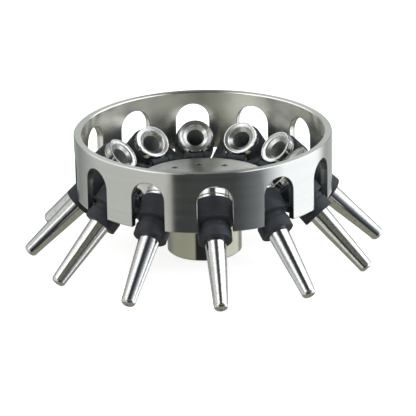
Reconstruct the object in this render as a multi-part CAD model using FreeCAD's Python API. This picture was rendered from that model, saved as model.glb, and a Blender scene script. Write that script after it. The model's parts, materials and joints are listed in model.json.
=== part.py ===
import FreeCAD, Part
import math
import os

from FreeCAD import Vector

# Twelve-place swing-out rotor. A turned ring with arched windows is joined to a
# round plate by twelve spokes. Twelve black carriers hinge at the plate's edge,
# each holds one metal tube shield, and all stand on a steel hub.
# Millimetres. Origin: centre of the hub's bottom face. +Z: up along the spindle.

STATIONS = 12

# Ring
RING_OUTER_R = 127.0
RING_WALL = 7.5
RING_HEIGHT = 60.2
RING_EDGE_CHAMFER = 0.9

# Windows: arched at the top, open through the ring's bottom edge
WINDOW_WIDTH = 34.0
WINDOW_TOP_GAP = 12.7
WINDOW_EDGE_CHAMFER = 0.5
WINDOW_CUT_MARGIN = 8.0
WINDOW_EDGE_MIN_RISE = 1.5
EDGE_SAMPLES = 5
ON_WALL_TOLERANCE = 0.001

# Plate and spokes, flush with the ring's bottom edge
PLATE_R = 69.0
PLATE_THICK = 7.2
PLATE_EDGE_CHAMFER = 0.8
SPOKE_WIDTH = 8.0
SPOKE_OVERLAP = 3.0

# Hub
HUB_R = 37.0
HUB_LENGTH = 63.4
HUB_EDGE_CHAMFER = 1.2
SPINDLE_BORE_R = 8.0
DRIVE_SLOT_WIDTH = 5.0
DRIVE_SLOT_DEPTH = 4.0
DRIVE_SLOT_LENGTH = 34.0

# Low cap screws that hold the plate on the hub
HUB_SCREW_COUNT = 4
HUB_SCREW_CIRCLE_R = 24.0
HUB_SCREW_START_DEG = 45.0
HUB_SCREW_R = 3.0
HUB_SCREW_HEAD_R = 5.0
HUB_SCREW_HEAD_HEIGHT = 4.0
HUB_SCREW_GRIP = 14.0
HUB_SCREW_SOCKET = 5.0
HUB_SCREW_SOCKET_DEPTH = 2.4

# Small cap screws that hold the hinge brackets under the plate
BRACKET_SCREW_CIRCLE_R = 50.0
BRACKET_SCREW_R = 1.5
BRACKET_SCREW_HEAD_R = 2.75
BRACKET_SCREW_HEAD_HEIGHT = 3.0
BRACKET_SCREW_GRIP = 4.5
BRACKET_SCREW_SOCKET = 2.5
BRACKET_SCREW_SOCKET_DEPTH = 1.6
HEAD_RECESS = 0.4
CUTTER_OVERRUN = 1.0
HEAD_CLEARANCE = 0.3
SHANK_CLEARANCE = 0.2

# Hinge outside the plate's edge, at a height above the ring's bottom edge
HINGE_R = 74.0
HINGE_HEIGHT = 7.2
HINGE_PIN_R = 1.5
HINGE_RUNNING_CLEARANCE = 0.06
LUG_WIDTH = 14.0
LUG_R = 3.5
LUG_SIDE_CLEARANCE = 0.4
EAR_THICK = 4.6
EAR_R = 4.2
PIN_PROUD = 0.3

# Hinge bracket's foot
FOOT_THICK = 6.0
FOOT_INNER_R = 46.0
FOOT_OUTER_R = 90.5
FOOT_CHAMFER = 0.8
SADDLE_CLEARANCE = 0.3

# Carrier at rest, measured in the tube's own frame: along the tube from the
# rim, and across it from the axis
REST_TILT_DEG = 46.3
AXIS_ABOVE_HINGE = 21.8
RIM_BEHIND_HINGE = 2.0

# Carrier: sleeve, waist and lower collar
SLEEVE_R = 19.7
SLEEVE_START = 9.5
SLEEVE_LENGTH = 22.0
SLEEVE_CHAMFER = 0.8
WAIST_R = 15.2
WAIST_STEP = 1.2
COLLAR_START = 39.0
COLLAR_LENGTH = 11.0
COLLAR_R = 16.5
COLLAR_LEAD = 1.6
COLLAR_CHAMFER = 0.8
LUG_REACH = 4.0
LUG_RAMP = 11.0

# Tube shield
RIM_R = 17.5
RIM_LIP_WIDTH = 1.4
RIM_LIP_DEPTH = 0.9
RIM_LEDGE_R = 13.2
RIM_LEDGE_FALL = 0.7
RIM_LEDGE_STEP = 0.8
RIM_CHAMFER = 0.7
RIM_GROOVE_START = 5.6
RIM_GROOVE_WIDTH = 1.6
RIM_GROOVE_DEPTH = 1.2
FUNNEL_DEPTH = 4.6
TUBE_BORE_R = 8.9
TUBE_BORE_LENGTH = 56.0
SHIELD_LENGTH = 121.0
SHIELD_NECK_R = 12.4
SHIELD_TIP_R = 6.9
SHIELD_TIP_ROUND = 4.2
SHIELD_BOTTOM_THICK = 3.0
SHIELD_TIP_WALL = 1.35
SHIELD_DRAIN_R = 1.4
SHIELD_IN_CARRIER_CLEARANCE = 0.2

# Rubber cushion at the bottom of each shield
CUSHION_HEIGHT = 7.0
CUSHION_SIDE_CLEARANCE = 0.1
CUSHION_DISH_R = 3.0
CUSHION_DISH_DEPTH = 2.4

# Levels and radii that follow from the sizes above
RING_BOTTOM_Z = HUB_LENGTH
RING_TOP_Z = RING_BOTTOM_Z + RING_HEIGHT
PLATE_TOP_Z = RING_BOTTOM_Z + PLATE_THICK
RING_INNER_R = RING_OUTER_R - RING_WALL
HINGE_Z = RING_BOTTOM_Z + HINGE_HEIGHT
PITCH_DEG = 360.0 / STATIONS
BRACKET_WIDTH = LUG_WIDTH + 2 * (LUG_SIDE_CLEARANCE + EAR_THICK)
SHIELD_SEAT = SLEEVE_START
UP = Vector(0, 0, 1)
ORIGIN = Vector(0, 0, 0)


def closed_wire(points):
    """A closed outline of straight edges through (x, z) points in the XZ plane."""
    corners = [Vector(x, 0, z) for x, z in points]
    return Part.makePolygon(corners + [corners[0]])


def turned(points):
    """A solid turned about Z from a closed (radius, height) outline."""
    return Part.Face(closed_wire(points)).revolve(ORIGIN, UP, 360)


def extruded(points, width):
    """An (x, z) outline extruded to both sides of the XZ plane."""
    face = Part.Face(closed_wire(points))
    face.translate(Vector(0, -width / 2.0, 0))
    return face.extrude(Vector(0, width, 0))


def disc(radius, height, x=0.0, z=0.0):
    """An upright cylinder whose bottom centre is at (x, 0, z)."""
    return Part.makeCylinder(radius, height, Vector(x, 0, z), UP)


def cross_bar(radius, width, x, z):
    """A cylinder along Y, centred on the XZ plane."""
    return Part.makeCylinder(radius, width, Vector(x, -width / 2.0, z), Vector(0, 1, 0))


def at_station(shape, index, offset_deg=0.0):
    """A copy turned about the spindle to a station. Station 0 points along +X."""
    copy = shape.copy()
    copy.rotate(ORIGIN, UP, index * PITCH_DEG + offset_deg)
    return copy


def rim_centre():
    """Centre of the shield's rim at rest, in the station's XZ plane."""
    tilt = math.radians(REST_TILT_DEG)
    x = HINGE_R + AXIS_ABOVE_HINGE * math.cos(tilt) - RIM_BEHIND_HINGE * math.sin(tilt)
    z = HINGE_Z + AXIS_ABOVE_HINGE * math.sin(tilt) + RIM_BEHIND_HINGE * math.cos(tilt)
    return Vector(x, 0, z)


def tilted(shape):
    """From the tube's frame, rim at the origin and tube along -Z, to its rest place."""
    copy = shape.copy()
    copy.rotate(ORIGIN, Vector(0, 1, 0), -REST_TILT_DEG)
    copy.translate(rim_centre())
    return copy


def hexagon_prism(across_flats, height, x, z):
    """A hexagonal prism whose bottom centre is at (x, 0, z)."""
    radius = across_flats / math.sqrt(3.0)
    turns = [math.radians(60.0 * k) for k in range(6)]
    corners = [Vector(x + radius * math.cos(t), radius * math.sin(t), z) for t in turns]
    face = Part.Face(Part.makePolygon(corners + [corners[0]]))
    return face.extrude(Vector(0, 0, height))


def cap_screw(x, head_top_z, shank_r, head_r, head_height, shank_reach, socket, socket_depth):
    """A socket head cap screw, standing upright at x."""
    head = disc(head_r, head_height, x, head_top_z - head_height)
    shank = disc(shank_r, shank_reach, x, head_top_z - head_height - shank_reach)
    recess = hexagon_prism(socket, socket_depth, x, head_top_z - socket_depth)
    return head.fuse(shank).removeSplitter().cut(recess)


def screw_hole(x, head_r, head_height, shank_r):
    """Counterbore and clearance hole through the plate for a recessed cap screw."""
    pocket_depth = head_height + HEAD_RECESS
    pocket_z = PLATE_TOP_Z - pocket_depth
    pocket = disc(head_r + HEAD_CLEARANCE, pocket_depth + CUTTER_OVERRUN, x, pocket_z)
    hole_length = PLATE_THICK + 2 * CUTTER_OVERRUN
    hole = disc(shank_r + SHANK_CLEARANCE, hole_length, x, RING_BOTTOM_Z - CUTTER_OVERRUN)
    return pocket.fuse(hole)


def ring_blank():
    c = RING_EDGE_CHAMFER
    return turned([
        (RING_INNER_R, RING_BOTTOM_Z + c),
        (RING_INNER_R + c, RING_BOTTOM_Z),
        (RING_OUTER_R - c, RING_BOTTOM_Z),
        (RING_OUTER_R, RING_BOTTOM_Z + c),
        (RING_OUTER_R, RING_TOP_Z - c),
        (RING_OUTER_R - c, RING_TOP_Z),
        (RING_INNER_R + c, RING_TOP_Z),
        (RING_INNER_R, RING_TOP_Z - c),
    ])


def window_cutter():
    """An arched prism along X that opens one window and the ring's bottom edge."""
    half = WINDOW_WIDTH / 2.0
    arch_z = RING_TOP_Z - WINDOW_TOP_GAP - half
    foot_z = RING_BOTTOM_Z - CUTTER_OVERRUN
    start_x = RING_INNER_R - WINDOW_CUT_MARGIN
    left_foot = Vector(start_x, -half, foot_z)
    left_spring = Vector(start_x, -half, arch_z)
    crown = Vector(start_x, 0, arch_z + half)
    right_spring = Vector(start_x, half, arch_z)
    right_foot = Vector(start_x, half, foot_z)
    outline = Part.Wire([
        Part.LineSegment(left_foot, left_spring).toShape(),
        Part.Arc(left_spring, crown, right_spring).toShape(),
        Part.LineSegment(right_spring, right_foot).toShape(),
        Part.LineSegment(right_foot, left_foot).toShape(),
    ])
    return Part.Face(outline).extrude(Vector(RING_WALL + 2 * WINDOW_CUT_MARGIN, 0, 0))


def plate_blank():
    c = PLATE_EDGE_CHAMFER
    return turned([
        (0, RING_BOTTOM_Z),
        (PLATE_R, RING_BOTTOM_Z),
        (PLATE_R, PLATE_TOP_Z - c),
        (PLATE_R - c, PLATE_TOP_Z),
        (0, PLATE_TOP_Z),
    ])


def spoke():
    start_x = PLATE_R - SPOKE_OVERLAP
    length = RING_INNER_R + SPOKE_OVERLAP - start_x
    corner = Vector(start_x, -SPOKE_WIDTH / 2.0, RING_BOTTOM_Z)
    return Part.makeBox(length, SPOKE_WIDTH, PLATE_THICK - PLATE_EDGE_CHAMFER, corner)


def window_edges(ring, radius):
    """The rising edges of the windows on the ring's wall of this radius."""
    rising = []
    for edge in ring.Edges:
        radii = [math.hypot(p.x, p.y) for p in edge.discretize(EDGE_SAMPLES)]
        on_wall = all(abs(r - radius) < ON_WALL_TOLERANCE for r in radii)
        if on_wall and edge.BoundBox.ZLength >= WINDOW_EDGE_MIN_RISE:
            rising.append(edge)
    return rising


def windowed_ring():
    """The ring with its windows, whose edges are broken on both walls."""
    windows = [at_station(window_cutter(), k) for k in range(STATIONS)]
    ring = ring_blank().cut(Part.makeCompound(windows))
    edges = window_edges(ring, RING_OUTER_R) + window_edges(ring, RING_INNER_R)
    return ring.makeChamfer(WINDOW_EDGE_CHAMFER, edges)


def rotor_body():
    """Ring, twelve spokes and plate, machined from one blank."""
    body = windowed_ring()
    spokes = [at_station(spoke(), k, PITCH_DEG / 2.0) for k in range(STATIONS)]
    body = body.fuse([plate_blank()] + spokes).removeSplitter()
    bore_length = PLATE_THICK + 2 * CUTTER_OVERRUN
    cuts = [disc(SPINDLE_BORE_R, bore_length, 0, RING_BOTTOM_Z - CUTTER_OVERRUN)]
    bracket_hole = screw_hole(
        BRACKET_SCREW_CIRCLE_R, BRACKET_SCREW_HEAD_R, BRACKET_SCREW_HEAD_HEIGHT, BRACKET_SCREW_R)
    cuts += [at_station(bracket_hole, k) for k in range(STATIONS)]
    hub_hole = screw_hole(HUB_SCREW_CIRCLE_R, HUB_SCREW_HEAD_R, HUB_SCREW_HEAD_HEIGHT, HUB_SCREW_R)
    cuts += [turned_copy(hub_hole, angle) for angle in hub_screw_angles()]
    return body.cut(Part.makeCompound(cuts))


def hub_screw_angles():
    return [HUB_SCREW_START_DEG + k * 360.0 / HUB_SCREW_COUNT for k in range(HUB_SCREW_COUNT)]


def turned_copy(shape, angle_deg):
    copy = shape.copy()
    copy.rotate(ORIGIN, UP, angle_deg)
    return copy


def hub():
    """A turned steel cylinder with a spindle bore and a drive slot in its foot."""
    c = HUB_EDGE_CHAMFER
    body = turned([
        (SPINDLE_BORE_R, 0),
        (HUB_R - c, 0),
        (HUB_R, c),
        (HUB_R, HUB_LENGTH),
        (SPINDLE_BORE_R, HUB_LENGTH),
    ])
    slot_height = DRIVE_SLOT_DEPTH + CUTTER_OVERRUN
    slot_corner = Vector(-DRIVE_SLOT_LENGTH / 2.0, -DRIVE_SLOT_WIDTH / 2.0, -CUTTER_OVERRUN)
    slot = Part.makeBox(DRIVE_SLOT_LENGTH, DRIVE_SLOT_WIDTH, slot_height, slot_corner)
    hole_length = HUB_SCREW_GRIP + CUTTER_OVERRUN
    hole = disc(HUB_SCREW_R, hole_length, HUB_SCREW_CIRCLE_R, HUB_LENGTH - HUB_SCREW_GRIP)
    holes = [turned_copy(hole, angle) for angle in hub_screw_angles()]
    return body.cut(Part.makeCompound([slot] + holes))


def shank_length(head_height, grip):
    """Length under a recessed head: the plate that is left below it, and the grip."""
    return PLATE_THICK - head_height - HEAD_RECESS + grip


def hub_screws():
    shank = shank_length(HUB_SCREW_HEAD_HEIGHT, HUB_SCREW_GRIP)
    screw = cap_screw(
        HUB_SCREW_CIRCLE_R, PLATE_TOP_Z - HEAD_RECESS, HUB_SCREW_R, HUB_SCREW_HEAD_R,
        HUB_SCREW_HEAD_HEIGHT, shank, HUB_SCREW_SOCKET, HUB_SCREW_SOCKET_DEPTH)
    return Part.makeCompound([turned_copy(screw, angle) for angle in hub_screw_angles()])


def bracket_screws():
    shank = shank_length(BRACKET_SCREW_HEAD_HEIGHT, BRACKET_SCREW_GRIP)
    screw = cap_screw(
        BRACKET_SCREW_CIRCLE_R, PLATE_TOP_Z - HEAD_RECESS, BRACKET_SCREW_R,
        BRACKET_SCREW_HEAD_R, BRACKET_SCREW_HEAD_HEIGHT, shank, BRACKET_SCREW_SOCKET,
        BRACKET_SCREW_SOCKET_DEPTH)
    return Part.makeCompound([at_station(screw, k) for k in range(STATIONS)])


def sleeve_clearance():
    """The space that a carrier's sleeve needs at rest, plus a little air."""
    radius = SLEEVE_R + SADDLE_CLEARANCE
    reach = COLLAR_START + COLLAR_LENGTH
    return tilted(Part.makeCylinder(radius, reach, Vector(0, 0, -reach), UP))


def hinge_bracket():
    """Foot under the plate, two ears outside its edge and a saddle for the sleeve."""
    low = RING_BOTTOM_Z - FOOT_THICK
    foot = extruded([
        (FOOT_INNER_R + FOOT_CHAMFER, low),
        (FOOT_OUTER_R - FOOT_CHAMFER, low),
        (FOOT_OUTER_R, low + FOOT_CHAMFER),
        (FOOT_OUTER_R, RING_BOTTOM_Z),
        (FOOT_INNER_R, RING_BOTTOM_Z),
        (FOOT_INNER_R, low + FOOT_CHAMFER),
    ], BRACKET_WIDTH)
    foot = foot.cut(sleeve_clearance())
    ear_height = HINGE_Z - RING_BOTTOM_Z
    ears = []
    for side in (-1, 1):
        inner_y = side * (LUG_WIDTH / 2.0 + LUG_SIDE_CLEARANCE)
        low_y = min(inner_y, inner_y + side * EAR_THICK)
        corner = Vector(HINGE_R - EAR_R, low_y, RING_BOTTOM_Z)
        ears.append(Part.makeBox(2 * EAR_R, EAR_THICK, ear_height, corner))
        knuckle_start = Vector(HINGE_R, low_y, HINGE_Z)
        ears.append(Part.makeCylinder(EAR_R, EAR_THICK, knuckle_start, Vector(0, 1, 0)))
    bracket = foot.fuse(ears).removeSplitter()
    hole_width = BRACKET_WIDTH + 2 * CUTTER_OVERRUN
    pin_hole = cross_bar(HINGE_PIN_R, hole_width, HINGE_R, HINGE_Z)
    thread_length = BRACKET_SCREW_GRIP + CUTTER_OVERRUN
    thread_z = RING_BOTTOM_Z - BRACKET_SCREW_GRIP
    thread = disc(BRACKET_SCREW_R, thread_length, BRACKET_SCREW_CIRCLE_R, thread_z)
    return bracket.cut(Part.makeCompound([pin_hole, thread]))


def hinge_pins():
    pin = cross_bar(HINGE_PIN_R, BRACKET_WIDTH + 2 * PIN_PROUD, HINGE_R, HINGE_Z)
    return Part.makeCompound([at_station(pin, k) for k in range(STATIONS)])


def shield_outer_r(along):
    """Outside radius of the shield's tapered body at a distance from the rim."""
    taper = (SHIELD_NECK_R - SHIELD_TIP_R) / (SHIELD_LENGTH - SHIELD_SEAT)
    return SHIELD_NECK_R - taper * (along - SHIELD_SEAT)


def shield_inner_r(along):
    """Inside radius of the shield's cone, from the bore's end to the floor."""
    bore_end = FUNNEL_DEPTH + TUBE_BORE_LENGTH
    floor = SHIELD_LENGTH - SHIELD_BOTTOM_THICK
    floor_r = shield_outer_r(floor) - SHIELD_TIP_WALL
    share = (along - bore_end) / (floor - bore_end)
    return TUBE_BORE_R + share * (floor_r - TUBE_BORE_R)


def carrier_sleeve():
    """The carrier's turned part: sleeve, waist, flared foot and collar."""
    c = SLEEVE_CHAMFER
    sleeve_end = SLEEVE_START + SLEEVE_LENGTH
    collar_end = COLLAR_START + COLLAR_LENGTH
    gap = SHIELD_IN_CARRIER_CLEARANCE
    return turned([
        (shield_outer_r(SLEEVE_START) + gap, -SLEEVE_START),
        (SLEEVE_R - c, -SLEEVE_START),
        (SLEEVE_R, -SLEEVE_START - c),
        (SLEEVE_R, -sleeve_end + c),
        (SLEEVE_R - c, -sleeve_end),
        (WAIST_R, -sleeve_end - WAIST_STEP),
        (COLLAR_R - COLLAR_CHAMFER, -COLLAR_START + COLLAR_LEAD),
        (COLLAR_R, -COLLAR_START),
        (COLLAR_R, -collar_end + COLLAR_CHAMFER),
        (COLLAR_R - COLLAR_CHAMFER, -collar_end),
        (shield_outer_r(collar_end) + gap, -collar_end),
    ])


def carrier_lug():
    """The hinge lug, which reaches back under the shield's rim."""
    hinge_x = -AXIS_ABOVE_HINGE
    hinge_z = -RIM_BEHIND_HINGE
    inner_x = hinge_x + LUG_R
    outer_x = hinge_x - LUG_R
    root_z = -SLEEVE_START - SLEEVE_LENGTH / 2.0
    root_x = -SLEEVE_R + LUG_R
    arm = extruded([
        (inner_x, hinge_z),
        (outer_x, hinge_z),
        (outer_x + SLEEVE_CHAMFER, hinge_z - LUG_REACH),
        (-SLEEVE_R + SLEEVE_CHAMFER, hinge_z - LUG_RAMP),
        (root_x, root_z),
        (root_x, -SLEEVE_START),
        (inner_x, -SLEEVE_START),
    ], LUG_WIDTH)
    return arm.fuse(cross_bar(LUG_R, LUG_WIDTH, hinge_x, hinge_z))


def tube_carrier():
    bore_r = HINGE_PIN_R + HINGE_RUNNING_CLEARANCE
    bore_width = LUG_WIDTH + 2 * CUTTER_OVERRUN
    bore = cross_bar(bore_r, bore_width, -AXIS_ABOVE_HINGE, -RIM_BEHIND_HINGE)
    body = carrier_sleeve().fuse(carrier_lug()).removeSplitter().cut(bore)
    return tilted(body)


def shield_outline():
    """Half section of the shield: floor, bore, funnel, rim, tapered body and tip."""
    groove_end = RIM_GROOVE_START + RIM_GROOVE_WIDTH
    groove_r = RIM_R - RIM_GROOVE_DEPTH
    lip_inner_r = RIM_R - RIM_LIP_WIDTH
    ledge_depth = RIM_LIP_DEPTH + RIM_LEDGE_FALL
    bore_end = TUBE_BORE_LENGTH + FUNNEL_DEPTH
    floor = SHIELD_LENGTH - SHIELD_BOTTOM_THICK
    round_start = SHIELD_LENGTH - SHIELD_TIP_ROUND
    tip_r = shield_outer_r(round_start)
    flat_r = tip_r - SHIELD_TIP_ROUND
    diagonal = SHIELD_TIP_ROUND * math.sqrt(0.5)
    body = [
        (SHIELD_DRAIN_R, -floor),
        (shield_inner_r(floor), -floor),
        (TUBE_BORE_R, -bore_end),
        (TUBE_BORE_R, -FUNNEL_DEPTH),
        (RIM_LEDGE_R - RIM_LEDGE_STEP, -ledge_depth - RIM_LEDGE_STEP),
        (RIM_LEDGE_R, -ledge_depth),
        (lip_inner_r, -RIM_LIP_DEPTH),
        (lip_inner_r, 0),
        (RIM_R - RIM_CHAMFER, 0),
        (RIM_R, -RIM_CHAMFER),
        (RIM_R, -RIM_GROOVE_START),
        (groove_r, -RIM_GROOVE_START),
        (groove_r, -groove_end),
        (RIM_R, -groove_end),
        (RIM_R, -SHIELD_SEAT),
        (SHIELD_NECK_R, -SHIELD_SEAT),
        (tip_r, -round_start),
    ]
    points = [Vector(x, 0, z) for x, z in body]
    edges = [Part.LineSegment(p, q).toShape() for p, q in zip(points[:-1], points[1:])]
    arc_middle = Vector(flat_r + diagonal, 0, -round_start - diagonal)
    arc_end = Vector(flat_r, 0, -SHIELD_LENGTH)
    edges.append(Part.Arc(points[-1], arc_middle, arc_end).toShape())
    drain_mouth = Vector(SHIELD_DRAIN_R, 0, -SHIELD_LENGTH)
    edges.append(Part.LineSegment(arc_end, drain_mouth).toShape())
    edges.append(Part.LineSegment(drain_mouth, points[0]).toShape())
    return Part.Wire(edges)


def tube_shield():
    return tilted(Part.Face(shield_outline()).revolve(ORIGIN, UP, 360))


def tube_cushion():
    """A rubber plug with a dished top on the shield's floor."""
    floor = SHIELD_LENGTH - SHIELD_BOTTOM_THICK
    top = floor - CUSHION_HEIGHT
    gap = CUSHION_SIDE_CLEARANCE
    return tilted(turned([
        (0, -floor),
        (shield_inner_r(floor) - gap, -floor),
        (shield_inner_r(top) - gap, -top),
        (CUSHION_DISH_R, -top),
        (0, -top - CUSHION_DISH_DEPTH),
    ]))


def export(name, shape):
    shape.exportStep("parts/" + name + ".step")


def main():
    os.makedirs("parts", exist_ok=True)
    export("rotor_body", rotor_body())
    export("hub", hub())
    export("hub_screws", hub_screws())
    export("bracket_screws", bracket_screws())
    export("hinge_pins", hinge_pins())
    repeated = {
        "hinge_bracket": hinge_bracket(),
        "tube_carrier": tube_carrier(),
        "tube_shield": tube_shield(),
        "tube_cushion": tube_cushion(),
    }
    for name, shape in repeated.items():
        for k in range(STATIONS):
            export("%s_%02d" % (name, k + 1), at_station(shape, k))


main()
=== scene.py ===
# Twelve-place swing-out rotor: machined ring and plate on a polished hub, with
# black carriers that hinge at the plate's edge and bright tapered tube shields.
# Metres, in the part's own frame: +Z is the spindle, the hub stands on z = 0.

import json
import math

import bmesh
import bpy
from mathutils import Matrix, Vector


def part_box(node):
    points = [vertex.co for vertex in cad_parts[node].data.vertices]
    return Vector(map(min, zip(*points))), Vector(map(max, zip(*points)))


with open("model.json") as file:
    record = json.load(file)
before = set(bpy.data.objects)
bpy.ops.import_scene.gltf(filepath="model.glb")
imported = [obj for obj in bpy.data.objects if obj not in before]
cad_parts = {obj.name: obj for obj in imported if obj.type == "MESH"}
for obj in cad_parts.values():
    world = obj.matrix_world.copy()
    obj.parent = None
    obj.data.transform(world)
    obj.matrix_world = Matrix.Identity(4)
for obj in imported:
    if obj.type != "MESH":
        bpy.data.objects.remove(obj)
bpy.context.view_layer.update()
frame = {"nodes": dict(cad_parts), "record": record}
nodes = frame["nodes"]
stations = sorted(name[-2:] for name in nodes if name.startswith("tube_shield_"))

# Camera. The photograph looks down on the ring at 19 degrees from far away, with
# one tube a little to the right of the middle, and is tilted by about a degree.
PHOTO_SIZE = 416.0
RING_CENTRE_PIXEL = (202.7, 130.3)
CAMERA_ELEVATION = math.radians(19.12)
CAMERA_AZIMUTH = math.radians(-4.8)
CAMERA_ROLL = math.radians(1.0)
CAMERA_DISTANCE = 3.23
CAMERA_REACH = 50.0
FOCAL_PIXELS = 3288.0
SENSOR_WIDTH = 36.0

ring_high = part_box("rotor_body")[1]
ring_centre = Vector((0.0, 0.0, ring_high.z))
back = Vector((
    math.sin(CAMERA_AZIMUTH) * math.cos(CAMERA_ELEVATION),
    -math.cos(CAMERA_AZIMUTH) * math.cos(CAMERA_ELEVATION),
    math.sin(CAMERA_ELEVATION),
))
level_right = Vector((math.cos(CAMERA_AZIMUTH), math.sin(CAMERA_AZIMUTH), 0.0))
level_up = back.cross(level_right)
right = level_right * math.cos(CAMERA_ROLL) - level_up * math.sin(CAMERA_ROLL)
up = level_right * math.sin(CAMERA_ROLL) + level_up * math.cos(CAMERA_ROLL)
aim_right = (PHOTO_SIZE / 2 - RING_CENTRE_PIXEL[0]) / FOCAL_PIXELS
aim_down = (PHOTO_SIZE / 2 - RING_CENTRE_PIXEL[1]) / FOCAL_PIXELS
forward = (right * aim_right - up * aim_down - back).normalized()
true_right = forward.cross(up).normalized()
true_up = true_right.cross(forward)

camera_data = bpy.data.cameras.new("camera")
camera_data.sensor_width = SENSOR_WIDTH
camera_data.lens = SENSOR_WIDTH * FOCAL_PIXELS / PHOTO_SIZE
camera_data.clip_end = CAMERA_REACH
camera = bpy.data.objects.new("camera", camera_data)
bpy.context.scene.collection.objects.link(camera)
turn = Matrix((true_right, true_up, -forward)).transposed().to_4x4()
camera.matrix_world = Matrix.Translation(ring_centre + back * CAMERA_DISTANCE) @ turn
bpy.context.scene.camera = camera
bpy.context.scene.view_settings.view_transform = "Standard"


# Studio. A white sweep that the lamps light softly. What the metal mirrors is the
# room round the table: dark in front, grey with a bright window at the left, white
# at the right, and overhead two bright screens with a dark gap between them.
WHITE = (1.0, 1.0, 1.0, 1.0)
SOFT_LIGHT = 0.55
ROOM_BRIGHTNESS = 1.7

# The colours on the way round the room, from the back (0) over the left (0.25) and
# the front (0.5) to the right (0.75).
ROUND_TONES = [
    (0.00, (0.33, 0.34, 0.33)),
    (0.06, (0.22, 0.23, 0.22)),
    (0.10, (0.16, 0.17, 0.16)),
    (0.20, (0.38, 0.385, 0.375)),
    (0.415, (0.43, 0.425, 0.40)),
    (0.425, (0.018, 0.020, 0.024)),
    (0.58, (0.025, 0.028, 0.034)),
    (0.64, (0.12, 0.13, 0.14)),
    (0.71, (0.85, 0.86, 0.89)),
    (0.84, (0.83, 0.84, 0.86)),
    (0.88, (0.26, 0.27, 0.26)),
    (1.00, (0.33, 0.34, 0.33)),
]
# The colours overhead, from the left (0) to the right (1).
OVERHEAD_TONES = [
    (0.00, (0.40, 0.40, 0.38)),
    (0.10, (0.44, 0.44, 0.43)),
    (0.16, (0.86, 0.87, 0.88)),
    (0.28, (0.90, 0.91, 0.92)),
    (0.33, (0.55, 0.55, 0.53)),
    (0.42, (0.04, 0.04, 0.035)),
    (0.66, (0.03, 0.033, 0.035)),
    (0.71, (0.90, 0.91, 0.92)),
    (1.00, (0.96, 0.97, 0.98)),
]
# Where the left window stands on the way round the room: white shows it.
WINDOW_PLACE = [
    (0.00, (0.0, 0.0, 0.0)),
    (0.325, (0.0, 0.0, 0.0)),
    (0.34, (1.0, 1.0, 1.0)),
    (0.39, (1.0, 1.0, 1.0)),
    (0.405, (0.0, 0.0, 0.0)),
    (1.00, (0.0, 0.0, 0.0)),
]
WINDOW_LIGHT = (0.92, 0.94, 0.96, 1.0)
FRONT_TONE = (0.095, 0.095, 0.072, 1.0)
TABLE_TONE = (0.16, 0.16, 0.125, 1.0)

# The pairs of heights over which the room's parts fade into each other. The front
# also fades by how far a direction looks to the front, and the screens' edge rises
# towards the front by the slope.
WINDOW_SILL = (0.20, 0.28)
FRONT_FOOT = (0.05, 0.25)
FRONT_SIDES = (0.6, 0.8)
SCREEN_SLOPE = 0.8
SCREEN_EDGE = (0.40, 0.50)
TABLE_EDGE = (-0.48, -0.60)


def math_node(tree, operation, *values):
    """A Math node whose inputs are numbers or the sockets of other nodes."""
    node = tree.nodes.new("ShaderNodeMath")
    node.operation = operation
    for socket, value in zip(node.inputs, values):
        if isinstance(value, (int, float)):
            socket.default_value = value
        else:
            tree.links.new(value, socket)
    return node.outputs[0]


def fade(tree, value, edges):
    """A smooth step from 0 at the first edge to 1 at the second."""
    node = tree.nodes.new("ShaderNodeMapRange")
    node.interpolation_type = "SMOOTHSTEP"
    node.inputs["From Min"].default_value, node.inputs["From Max"].default_value = edges
    tree.links.new(value, node.inputs["Value"])
    return node.outputs["Result"]


def mix_colour(tree, share, first, second, blend="MIX"):
    """A colour Mix node. Each input is a colour or a socket."""
    node = tree.nodes.new("ShaderNodeMix")
    node.data_type = "RGBA"
    node.blend_type = blend
    for socket, value in ((node.inputs[0], share), (node.inputs[6], first), (node.inputs[7], second)):
        if isinstance(value, bpy.types.NodeSocket):
            tree.links.new(value, socket)
        else:
            socket.default_value = value
    return node.outputs[2]


def mix_shader(tree, share, first, second):
    """A Mix Shader node between two shader nodes."""
    node = tree.nodes.new("ShaderNodeMixShader")
    tree.links.new(share, node.inputs[0])
    tree.links.new(first.outputs[0], node.inputs[1])
    tree.links.new(second.outputs[0], node.inputs[2])
    return node


def tone_ramp(tree, place_socket, tones):
    """A colour ramp with an entry for each (place, colour)."""
    ramp = tree.nodes.new("ShaderNodeValToRGB")
    elements = ramp.color_ramp.elements
    elements[0].position, elements[1].position = tones[0][0], tones[-1][0]
    for place, tone in tones[1:-1]:
        elements.new(place)
    for element, (place, tone) in zip(elements, tones):
        element.color = (*tone, 1.0)
    tree.links.new(place_socket, ramp.inputs[0])
    return ramp.outputs["Color"]


world = bpy.data.worlds.new("studio")
bpy.context.scene.world = world
world.use_nodes = True
sky = world.node_tree
sky.nodes.clear()
axes = sky.nodes.new("ShaderNodeSeparateXYZ")
sky.links.new(sky.nodes.new("ShaderNodeTexCoord").outputs["Generated"], axes.inputs[0])

bearing = math_node(sky, "ARCTAN2", axes.outputs["X"], axes.outputs["Y"])
turned = math_node(sky, "ADD", bearing, 2 * math.pi + CAMERA_AZIMUTH)
share_by_right = math_node(sky, "FRACT", math_node(sky, "DIVIDE", turned, 2 * math.pi))
share_round = math_node(sky, "SUBTRACT", 1.0, share_by_right)
sideways = math_node(
    sky, "ADD",
    math_node(sky, "MULTIPLY", axes.outputs["X"], math.cos(CAMERA_AZIMUTH) / 2),
    math_node(sky, "MULTIPLY_ADD", axes.outputs["Y"], math.sin(CAMERA_AZIMUTH) / 2, 0.5),
)
frontward = math_node(
    sky, "MAXIMUM", 0.0,
    math_node(
        sky, "MULTIPLY_ADD", axes.outputs["Y"], -math.cos(CAMERA_AZIMUTH),
        math_node(sky, "MULTIPLY", axes.outputs["X"], math.sin(CAMERA_AZIMUTH)),
    ),
)

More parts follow.
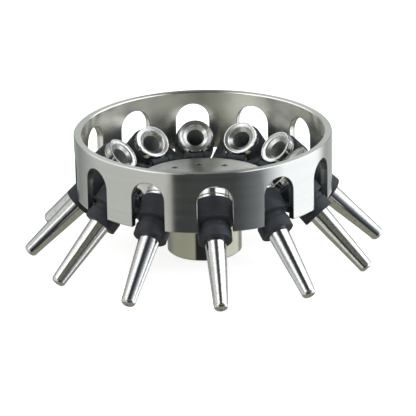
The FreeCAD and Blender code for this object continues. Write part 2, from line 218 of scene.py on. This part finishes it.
window = math_node(
    sky, "MULTIPLY",
    tone_ramp(sky, share_round, WINDOW_PLACE), fade(sky, axes.outputs["Z"], WINDOW_SILL))
over_front = math_node(
    sky, "MULTIPLY", fade(sky, axes.outputs["Z"], FRONT_FOOT), fade(sky, frontward, FRONT_SIDES))
above_screen_edge = math_node(sky, "MULTIPLY_ADD", frontward, -SCREEN_SLOPE, axes.outputs["Z"])
mirrored = mix_colour(sky, window, tone_ramp(sky, share_round, ROUND_TONES), WINDOW_LIGHT)
mirrored = mix_colour(sky, over_front, mirrored, FRONT_TONE)
mirrored = mix_colour(
    sky, fade(sky, above_screen_edge, SCREEN_EDGE), mirrored, tone_ramp(sky, sideways, OVERHEAD_TONES))
mirrored = mix_colour(sky, fade(sky, axes.outputs["Z"], TABLE_EDGE), mirrored, TABLE_TONE)

seen = sky.nodes.new("ShaderNodeBackground")
seen.inputs["Color"].default_value = WHITE
lit = sky.nodes.new("ShaderNodeBackground")
lit.inputs["Strength"].default_value = SOFT_LIGHT
reflected = sky.nodes.new("ShaderNodeBackground")
reflected.inputs["Strength"].default_value = ROOM_BRIGHTNESS
sky.links.new(mirrored, reflected.inputs["Color"])
paths = sky.nodes.new("ShaderNodeLightPath")
direct = math_node(sky, "MAXIMUM", paths.outputs["Is Camera Ray"], paths.outputs["Is Transmission Ray"])
indirect_sky = mix_shader(sky, paths.outputs["Is Glossy Ray"], lit, reflected)
whole_sky = mix_shader(sky, direct, indirect_sky, seen)
sky.links.new(whole_sky.outputs[0], sky.nodes.new("ShaderNodeOutputWorld").inputs["Surface"])

# Soft square lamps, each with its place, size, power and colour. They point at the
# middle of the object and are kept out of what the metal mirrors.
LAMPS = [
    ("overhead_softbox", (0.15, -0.2, 1.5), 1.2, 9.0, (1.0, 1.0, 1.0)),
    ("right_softbox", (1.3, -0.25, 0.75), 0.8, 10.0, (0.96, 0.98, 1.0)),
    ("left_softbox", (-1.4, -0.5, 0.9), 0.9, 4.0, (1.0, 0.98, 0.94)),
]
for name, place, size, power, colour in LAMPS:
    lamp_data = bpy.data.lights.new(name, "AREA")
    lamp_data.shape = "SQUARE"
    lamp_data.size = size
    lamp_data.energy = power
    lamp_data.color = colour
    lamp = bpy.data.objects.new(name, lamp_data)
    bpy.context.scene.collection.objects.link(lamp)
    lamp.location = place
    aim = Vector((0.0, 0.0, ring_high.z / 2)) - Vector(place)
    lamp.rotation_euler = aim.to_track_quat("-Z", "Y").to_euler()
    lamp.visible_glossy = False

# The floor is paint that also glows a little where the camera sees it.
FLOOR_SIZE = 12.0
FLOOR_GLOW = 0.80
FLOOR_TONE = (0.85, 0.85, 0.85, 1.0)
sweep = bmesh.new()
bmesh.ops.create_grid(sweep, x_segments=1, y_segments=1, size=FLOOR_SIZE / 2)
floor_mesh = bpy.data.meshes.new("floor")
sweep.to_mesh(floor_mesh)
sweep.free()
floor = bpy.data.objects.new("floor", floor_mesh)
bpy.context.scene.collection.objects.link(floor)
floor.visible_glossy = False
floor_paint = bpy.data.materials.new("floor_paint")
floor_paint.use_nodes = True
paint = floor_paint.node_tree
paint.nodes.clear()
matte = paint.nodes.new("ShaderNodeBsdfDiffuse")
matte.inputs["Color"].default_value = FLOOR_TONE
glow = paint.nodes.new("ShaderNodeEmission")
glow.inputs["Color"].default_value = WHITE
glow.inputs["Strength"].default_value = FLOOR_GLOW
glowing_paint = paint.nodes.new("ShaderNodeAddShader")
paint.links.new(matte.outputs[0], glowing_paint.inputs[0])
paint.links.new(glow.outputs[0], glowing_paint.inputs[1])
floor_paths = paint.nodes.new("ShaderNodeLightPath")
floor_finish = mix_shader(paint, floor_paths.outputs["Is Camera Ray"], matte, glowing_paint)
paint.links.new(floor_finish.outputs[0], paint.nodes.new("ShaderNodeOutputMaterial").inputs["Surface"])
floor_mesh.materials.append(floor_paint)


# Rotor body: ring, spokes and plate turned and milled from one aluminium blank.
# The lathe leaves fine lines round the spindle, which stretch what the metal mirrors
# up and down. The inner wall and the flat faces are satin, and are painted a lighter tone than the
# outer wall: painted light.
LINE_PITCH = 0.0007
LINE_DEPTH = 0.000012
LINE_DRIFT = 1.5
LINE_DETAIL = 2.0
BAND_PITCH_IN_LINES = 9.0
BAND_DRIFT = 0.6
BAND_DETAIL = 1.0
SMUDGE_SIZE = 0.02
SMUDGE_DETAIL = 5.0
SMUDGE_FINENESS = 0.6
SMUDGE_EDGES = (0.42, 0.68)
QUARTER_TURN = 0.25
EDGE_SAMPLES = 4


def new_group(name, inputs, outputs):
    """An empty shader node group with named float or vector sockets."""
    group = bpy.data.node_groups.new(name, "ShaderNodeTree")
    for label, kind, value in inputs:
        socket = group.interface.new_socket(name=label, in_out="INPUT", socket_type=kind)
        if value is not None:
            socket.default_value = value
    for label in outputs:
        group.interface.new_socket(name=label, in_out="OUTPUT", socket_type="NodeSocketFloat")
    return group, group.nodes.new("NodeGroupInput"), group.nodes.new("NodeGroupOutput")


# The lathe's lines, in the object's own coordinates: rings of noise that follow
# the radius and the height, and drift slowly round the spindle.
turning, turning_in, turning_out = new_group(
    "turning_lines",
    [("Vector", "NodeSocketVector", None), ("Pitch", "NodeSocketFloat", LINE_PITCH)],
    ["Height", "Bands", "Radius"],
)
turning_xyz = turning.nodes.new("ShaderNodeSeparateXYZ")
turning.links.new(turning_in.outputs["Vector"], turning_xyz.inputs[0])
turning_r = math_node(
    turning, "SQRT",
    math_node(
        turning, "ADD",
        math_node(turning, "POWER", turning_xyz.outputs["X"], 2.0),
        math_node(turning, "POWER", turning_xyz.outputs["Y"], 2.0),
    ),
)
turning_angle = math_node(turning, "ARCTAN2", turning_xyz.outputs["Y"], turning_xyz.outputs["X"])


def line_noise(pitch, drift, detail):
    """Noise that is long round the spindle and short across it."""
    across = turning.nodes.new("ShaderNodeCombineXYZ")
    turning.links.new(math_node(turning, "DIVIDE", turning_r, pitch), across.inputs["X"])
    turning.links.new(math_node(turning, "MULTIPLY", turning_angle, drift), across.inputs["Y"])
    turning.links.new(math_node(turning, "DIVIDE", turning_xyz.outputs["Z"], pitch), across.inputs["Z"])
    noise = turning.nodes.new("ShaderNodeTexNoise")
    noise.inputs["Scale"].default_value = 1.0
    noise.inputs["Detail"].default_value = detail
    turning.links.new(across.outputs[0], noise.inputs["Vector"])
    return noise.outputs["Fac"]


line_pitch = turning_in.outputs["Pitch"]
band_pitch = math_node(turning, "MULTIPLY", line_pitch, BAND_PITCH_IN_LINES)
turning.links.new(line_noise(line_pitch, LINE_DRIFT, LINE_DETAIL), turning_out.inputs["Height"])
turning.links.new(line_noise(band_pitch, BAND_DRIFT, BAND_DETAIL), turning_out.inputs["Bands"])
turning.links.new(turning_r, turning_out.inputs["Radius"])

# Handling: faint smudges that change the tone and the gloss.
smudges, smudges_in, smudges_out = new_group(
    "smudges",
    [("Vector", "NodeSocketVector", None), ("Size", "NodeSocketFloat", SMUDGE_SIZE)],
    ["Amount"],
)
smudge_size = smudges.nodes.new("ShaderNodeCombineXYZ")
for axis in ("X", "Y", "Z"):
    smudges.links.new(smudges_in.outputs["Size"], smudge_size.inputs[axis])
smudge_place = smudges.nodes.new("ShaderNodeVectorMath")
smudge_place.operation = "DIVIDE"
smudges.links.new(smudges_in.outputs["Vector"], smudge_place.inputs[0])
smudges.links.new(smudge_size.outputs[0], smudge_place.inputs[1])
smudge_noise = smudges.nodes.new("ShaderNodeTexNoise")
smudge_noise.inputs["Scale"].default_value = 1.0
smudge_noise.inputs["Detail"].default_value = SMUDGE_DETAIL
smudge_noise.inputs["Roughness"].default_value = SMUDGE_FINENESS
smudges.links.new(smudge_place.outputs[0], smudge_noise.inputs["Vector"])
smudges.links.new(
    fade(smudges, smudge_noise.outputs["Fac"], SMUDGE_EDGES), smudges_out.inputs["Amount"])


def place_group(tree, group, **values):
    """A group node in a material, fed with the object's own coordinates."""
    node = tree.nodes.new("ShaderNodeGroup")
    node.node_tree = group
    coordinates = tree.nodes.new("ShaderNodeTexCoord")
    tree.links.new(coordinates.outputs["Object"], node.inputs["Vector"])
    for label, value in values.items():
        node.inputs[label].default_value = value
    return node


def new_material(name, metallic):
    """A material with one Principled shader."""
    material = bpy.data.materials.new(name)
    material.use_nodes = True
    tree = material.node_tree
    shader = tree.nodes["Principled BSDF"]
    shader.inputs["Metallic"].default_value = metallic
    return material, tree, shader


def stretch_gleam(tree, shader, strength):
    """Stretches the gleam across the lathe's lines, a quarter turn from them."""
    shader.inputs["Anisotropic"].default_value = strength
    shader.inputs["Anisotropic Rotation"].default_value = QUARTER_TURN
    tangent = tree.nodes.new("ShaderNodeTangent")
    tangent.direction_type = "RADIAL"
    tangent.axis = "Z"
    tree.links.new(tangent.outputs[0], shader.inputs["Tangent"])


def add_bump(tree, shader, height, depth, rounding=0.0):
    """Relief in metres on the shader's normal, over softened edges if asked."""
    bump = tree.nodes.new("ShaderNodeBump")
    bump.inputs["Strength"].default_value = 1.0
    bump.inputs["Distance"].default_value = depth
    tree.links.new(height, bump.inputs["Height"])
    if rounding:
        soft_edge = tree.nodes.new("ShaderNodeBevel")
        soft_edge.samples = EDGE_SAMPLES
        soft_edge.inputs["Radius"].default_value = rounding
        tree.links.new(soft_edge.outputs["Normal"], bump.inputs["Normal"])
    tree.links.new(bump.outputs["Normal"], shader.inputs["Normal"])


def finish_with(material, *names):
    """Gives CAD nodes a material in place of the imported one."""
    for name in names:
        mesh = nodes[name].data
        mesh.materials.clear()
        mesh.materials.append(material)


# The outer wall keeps the darker tone. The lighter tones of the inner wall and of the upward flat faces
# are painted light.
BODY_TONE = (0.68, 0.69, 0.67, 1.0)
INNER_WALL_PAINTED_LIGHT_TONE = (0.92, 0.92, 0.84, 1.0)
FLAT_FACE_PAINTED_LIGHT_TONE = (0.94, 0.96, 0.93, 1.0)
BODY_BAND_TONES = ((0.92, 0.92, 0.92, 1.0), (1.06, 1.06, 1.06, 1.0))
BODY_SMUDGE_SIZE = 0.03
BODY_ROUGHNESS = 0.16
BAND_ROUGHNESS = 0.08
BODY_SMUDGE_ROUGHNESS = 0.015
SATIN_ROUGHNESS = 0.17
INNER_WALL_SATIN = 0.25
BODY_GLEAM = 0.9
BODY_EDGE_ROUNDING = 0.0004
FLAT_FACE_EDGES = (0.7, 0.95)
HALF_WALL = 0.0037
WALL_MIDDLE_R = ring_high.x - HALF_WALL
WALL_FADE = 0.001

body_metal, tree, shader = new_material("machined_aluminium", 1.0)
lines = place_group(tree, turning, Pitch=LINE_PITCH)
marks = place_group(tree, smudges, Size=BODY_SMUDGE_SIZE)
facing = tree.nodes.new("ShaderNodeSeparateXYZ")
tree.links.new(tree.nodes.new("ShaderNodeTexCoord").outputs["Normal"], facing.inputs[0])
flat_face = fade(tree, facing.outputs["Z"], FLAT_FACE_EDGES)
inside = fade(tree, lines.outputs["Radius"], (WALL_MIDDLE_R + WALL_FADE, WALL_MIDDLE_R - WALL_FADE))
inner_wall = math_node(tree, "SUBTRACT", inside, math_node(tree, "MULTIPLY", inside, flat_face))
# Painted light: the inner wall and the upward flat faces get lighter tones than the outer wall.
tone = mix_colour(tree, inner_wall, BODY_TONE, INNER_WALL_PAINTED_LIGHT_TONE)
tone = mix_colour(tree, flat_face, tone, FLAT_FACE_PAINTED_LIGHT_TONE)
bands = mix_colour(tree, lines.outputs["Bands"], *BODY_BAND_TONES)
tree.links.new(mix_colour(tree, 1.0, tone, bands, "MULTIPLY"), shader.inputs["Base Color"])
satin = math_node(tree, "MAXIMUM", flat_face, math_node(tree, "MULTIPLY", inside, INNER_WALL_SATIN))
roughness = math_node(tree, "MULTIPLY_ADD", lines.outputs["Bands"], BAND_ROUGHNESS, BODY_ROUGHNESS)
roughness = math_node(tree, "MULTIPLY_ADD", marks.outputs["Amount"], BODY_SMUDGE_ROUGHNESS, roughness)
roughness = math_node(tree, "MULTIPLY_ADD", satin, SATIN_ROUGHNESS, roughness)
tree.links.new(roughness, shader.inputs["Roughness"])
stretch_gleam(tree, shader, BODY_GLEAM)
add_bump(tree, shader, lines.outputs["Height"], LINE_DEPTH, BODY_EDGE_ROUNDING)
finish_with(body_metal, "rotor_body")


# Hub: a turned and polished steel cylinder, screwed under the plate and bored for
# the spindle. Its lines are finer and shallower than the body's.
# The hub's dark olive tone is partly the steel's own and partly painted shade from the ring and plate
# above it.
HUB_TONE_WITH_PAINTED_SHADE = (0.39, 0.39, 0.31, 1.0)
HUB_BAND_TONES = ((0.94, 0.94, 0.94, 1.0), (1.04, 1.04, 1.04, 1.0))
HUB_LINE_PITCH = 0.0005
HUB_LINE_DEPTH = 0.000006
HUB_SMUDGE_SIZE = 0.02
HUB_ROUGHNESS = 0.14
HUB_SMUDGE_ROUGHNESS = 0.06
HUB_GLEAM = 0.8
HUB_EDGE_ROUNDING = 0.0003


def smudged_roughness(tree, shader, marks, clean, added):
    """Roughness that rises from its clean value where the smudges are."""
    tree.links.new(
        math_node(tree, "MULTIPLY_ADD", marks.outputs["Amount"], added, clean),
        shader.inputs["Roughness"])


hub_metal, tree, shader = new_material("polished_steel", 1.0)
lines = place_group(tree, turning, Pitch=HUB_LINE_PITCH)
marks = place_group(tree, smudges, Size=HUB_SMUDGE_SIZE)
bands = mix_colour(tree, lines.outputs["Bands"], *HUB_BAND_TONES)
tree.links.new(mix_colour(tree, 1.0, HUB_TONE_WITH_PAINTED_SHADE, bands, "MULTIPLY"), shader.inputs["Base Color"])
smudged_roughness(tree, shader, marks, HUB_ROUGHNESS, HUB_SMUDGE_ROUGHNESS)
stretch_gleam(tree, shader, HUB_GLEAM)
add_bump(tree, shader, lines.outputs["Height"], HUB_LINE_DEPTH, HUB_EDGE_ROUNDING)
finish_with(hub_metal, "hub")


# Tube shields: drawn metal tubes, polished and plated, that hang in the carriers
# by their rims. A clear mirror, with faint smudges and a fine grain.
CHROME_TONE = (0.86, 0.87, 0.88, 1.0)
CHROME_SMUDGE_TONE = (0.78, 0.78, 0.77, 1.0)
CHROME_SMUDGE_SIZE = 0.008
CHROME_ROUGHNESS = 0.05
CHROME_SMUDGE_ROUGHNESS = 0.05
GRAIN_TONE = (0.30, 0.31, 0.28, 1.0)
GRAIN_SIZE = 0.0013
GRAIN_SHARE = 0.4
GRAIN_DEPTH = 0.000015
SHIELD_EDGE_ROUNDING = 0.0003

chrome, tree, shader = new_material("bright_shield_metal", 1.0)
marks = place_group(tree, smudges, Size=CHROME_SMUDGE_SIZE)
grain = place_group(tree, smudges, Size=GRAIN_SIZE)
grain_share = math_node(tree, "MULTIPLY", grain.outputs["Amount"], GRAIN_SHARE)
tone = mix_colour(tree, marks.outputs["Amount"], CHROME_TONE, CHROME_SMUDGE_TONE)
tree.links.new(mix_colour(tree, grain_share, tone, GRAIN_TONE), shader.inputs["Base Color"])
smudged_roughness(tree, shader, marks, CHROME_ROUGHNESS, CHROME_SMUDGE_ROUGHNESS)
add_bump(tree, shader, grain.outputs["Amount"], GRAIN_DEPTH, SHIELD_EDGE_ROUNDING)
finish_with(chrome, *["tube_shield_" + k for k in stations])


def smudged_tone(tree, shader, marks, clean, smudged):
    """A base colour that goes from the clean to the smudged tone."""
    tree.links.new(
        mix_colour(tree, marks.outputs["Amount"], clean, smudged), shader.inputs["Base Color"])


def plain_finish(name, metallic, tones, smudge_size, roughness, relief, rounding=0.0):
    """A finish of even gloss, with smudges that only change its tone and relief."""
    material, tree, shader = new_material(name, metallic)
    marks = place_group(tree, smudges, Size=smudge_size)
    smudged_tone(tree, shader, marks, *tones)
    shader.inputs["Roughness"].default_value = roughness
    add_bump(tree, shader, marks.outputs["Amount"], relief, rounding)
    return material


# The recess in the rim, inside its lip, is turned and left satin.
turned_recess = plain_finish(
    "shield_recess_metal",
    metallic=1.0,
    tones=((0.74, 0.75, 0.74, 1.0), (0.60, 0.61, 0.60, 1.0)),
    smudge_size=0.003,
    roughness=0.24,
    relief=0.000004,
)
# The bore below it is left dull.
dull_bore = plain_finish(
    "shield_bore_metal",
    metallic=0.4,
    tones=((0.42, 0.43, 0.43, 1.0), (0.32, 0.33, 0.33, 1.0)),
    smudge_size=0.004,
    roughness=0.42,
    relief=0.00001,
)

# The bore's faces look towards the tube's axis, and the recess's faces lie above
# the bore and look towards its mouth.
RECESS_R = 0.0160
BORE_SLACK = 1.03
BORE_SLOT = 1
RECESS_SLOT = 2
bores = {m["name"][-2:]: m for m in frame["record"]["mounts"] if m["name"].startswith("tube_bore_")}
for k in stations:
    axis = Vector(bores[k]["axis"])
    middle = Vector(bores[k]["pos_m"])
    bore_r = bores[k]["dims"]["r_mm"] / 1000
    bore_top = bores[k]["dims"]["length_mm"] / 2000
    mesh = nodes["tube_shield_" + k].data
    mesh.materials.append(dull_bore)
    mesh.materials.append(turned_recess)
    for face in mesh.polygons:
        from_middle = face.center - middle
        along = from_middle.dot(axis)
        outward = from_middle - axis * along
        if outward.length < BORE_SLACK * bore_r and outward.dot(face.normal) < 0:
            face.material_index = BORE_SLOT
        elif outward.length < RECESS_R and along > bore_top and axis.dot(face.normal) > 0:
            face.material_index = RECESS_SLOT


# Carriers and hinge brackets: aluminium, anodised black and half matt, with faint
# lighter marks. The brackets are screwed under the plate and hold the hinge pins.
BLACK_TONES = ((0.031, 0.035, 0.042, 1.0), (0.041, 0.045, 0.053, 1.0))
BLACK_SMUDGE_SIZE = 0.012
BLACK_ROUGHNESS = 0.42
BLACK_SMUDGE_ROUGHNESS = 0.10
BLACK_SPECULAR = 0.22
BLACK_RELIEF = 0.00001
BLACK_EDGE_ROUNDING = 0.0004

# The same black finish is also used as painted shade on the spokes, below.
black_finish_and_painted_shade, tree, shader = new_material("black_anodised_and_painted_shade", 0.0)
marks = place_group(tree, smudges, Size=BLACK_SMUDGE_SIZE)
smudged_tone(tree, shader, marks, *BLACK_TONES)
smudged_roughness(tree, shader, marks, BLACK_ROUGHNESS, BLACK_SMUDGE_ROUGHNESS)
shader.inputs["Specular IOR Level"].default_value = BLACK_SPECULAR
add_bump(tree, shader, marks.outputs["Amount"], BLACK_RELIEF, BLACK_EDGE_ROUNDING)
finish_with(black_finish_and_painted_shade, *["tube_carrier_" + k for k in stations])
finish_with(black_finish_and_painted_shade, *["hinge_bracket_" + k for k in stations])

# Between the plate and the ring only black shows, so the spokes are painted black with the carriers'
# finish: painted shade.
PLATE_EDGE_R = 0.0695
SPOKE_END_R = 0.1185
SPOKE_PAINTED_SHADE_SLOT = 1
body_mesh = nodes["rotor_body"].data
body_mesh.materials.append(black_finish_and_painted_shade)
for face in body_mesh.polygons:
    if PLATE_EDGE_R < math.hypot(face.center.x, face.center.y) < SPOKE_END_R:
        face.material_index = SPOKE_PAINTED_SHADE_SLOT


# Cap screws and hinge pins: plain steel, darker than the hub. The screws sit in
# recesses in the plate's top, and the pins are pressed into the brackets' ears.
screw_metal = plain_finish(
    "screw_steel",
    metallic=1.0,
    tones=((0.34, 0.34, 0.34, 1.0), (0.22, 0.22, 0.21, 1.0)),
    smudge_size=0.003,
    roughness=0.32,
    relief=0.00001,
    rounding=0.0002,
)
finish_with(screw_metal, "hub_screws", "bracket_screws", "hinge_pins")


# Cushions: matt black rubber plugs with a dished top, on which the tubes rest. They
# lie loose on the floor of the shields.
rubber = plain_finish(
    "cushion_rubber",
    metallic=0.0,
    tones=((0.02, 0.02, 0.02, 1.0), (0.04, 0.04, 0.04, 1.0)),
    smudge_size=0.003,
    roughness=0.75,
    relief=0.00003,
)
finish_with(rubber, *["tube_cushion_" + k for k in stations])
